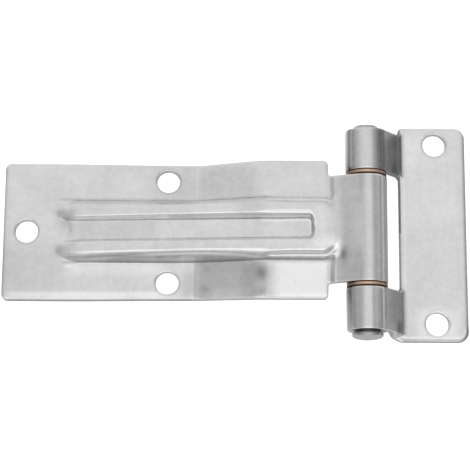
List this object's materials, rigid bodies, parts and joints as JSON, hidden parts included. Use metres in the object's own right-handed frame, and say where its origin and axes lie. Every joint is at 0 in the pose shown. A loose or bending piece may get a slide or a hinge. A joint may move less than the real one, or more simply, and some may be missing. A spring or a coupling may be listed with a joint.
{
  "type": "trailer door hinge",
  "caption": "Long pressed steel strap leaf with a raised grooved bead, hinged on a headed pin between the rolled eyes of a short bolt-on frame leaf.",
  "frame": {"origin": "on the frame leaf's mounting face, midway between its two bolt holes", "axes": "+X away from the strap leaf, across the pin; +Y along the pin, away from its head; +Z out of the mounting faces, towards the eyes"},
  "size_m": [0.2295, 0.1083, 0.0205],
  "materials": {
    "strap_steel": "satin, bright zinc plated",
    "frame_steel": "satin, bright zinc plated",
    "pin_steel": "turned, semi-bright",
    "washer_bronze": "dull bronze"
  },
  "bodies": {
    "frame_side": {"frame_leaf": "frame_steel", "hinge_pin": "pin_steel", "upper_thrust_washer": "washer_bronze", "lower_thrust_washer": "washer_bronze"},
    "strap_side": {"strap_leaf": "strap_steel"}
  },
  "joints": [
    {"name": "strap_swing", "type": "hinge", "parent": "frame_side", "child": "strap_side", "pos_m": [-0.0347, 0, 0.01025], "axis": [0, 1, 0], "range_deg": [0, 160]}
  ]
}
